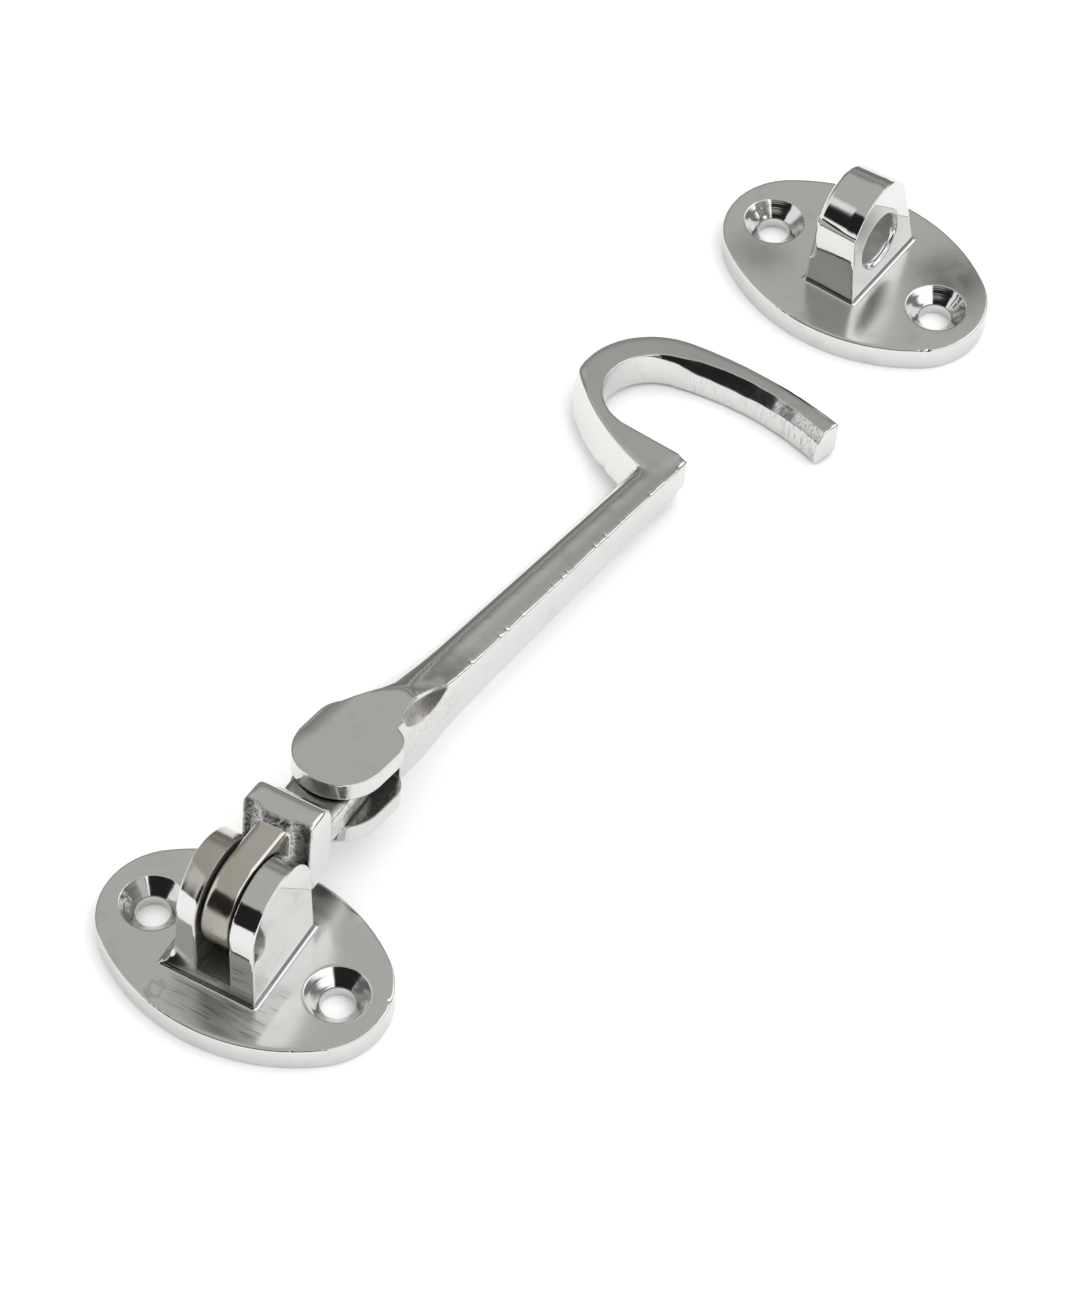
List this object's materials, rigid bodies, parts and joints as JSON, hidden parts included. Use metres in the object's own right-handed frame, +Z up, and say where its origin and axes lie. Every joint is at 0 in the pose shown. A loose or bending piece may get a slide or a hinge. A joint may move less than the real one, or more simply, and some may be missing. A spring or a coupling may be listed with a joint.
{
  "type": "hook and eye latch",
  "caption": "Cabin hook latch: a tapered arm with a flat hook on a two-way knuckle and lugged oval plate, and a separate oval plate with an upright eye.",
  "frame": {"origin": "middle of the hook plate's underside, midway between its two screw holes", "axes": "+X along the hook plate's long axis, +Y from the hook plate towards the eye plate, +Z up from the mounting face"},
  "size_m": [0.0497, 0.1575, 0.0207],
  "materials": {
    "chrome": "mirror polished chrome plate",
    "chrome_thin": "thin chrome plate, duller and warmer in the recesses",
    "chrome_pin": "pin ends polished flush"
  },
  "bodies": {
    "plates": {"base_plate": "chrome", "plate_pin": "chrome_pin", "eye_plate": "chrome"},
    "knuckle": {"knuckle": "chrome_thin"},
    "arm": {"hook_arm": "chrome", "arm_pin": "chrome_pin"}
  },
  "joints": [
    {"name": "lift", "type": "hinge", "parent": "plates", "child": "knuckle", "pos_m": [0, 0, 0.0142], "axis": [1, 0, 0], "range_deg": [-2, 165]},
    {"name": "swing", "type": "hinge", "parent": "knuckle", "child": "arm", "pos_m": [0, 0.02167, 0.01184], "axis": [0, 0.1083, 0.9941], "range_deg": [-83.5, 96.5]}
  ]
}
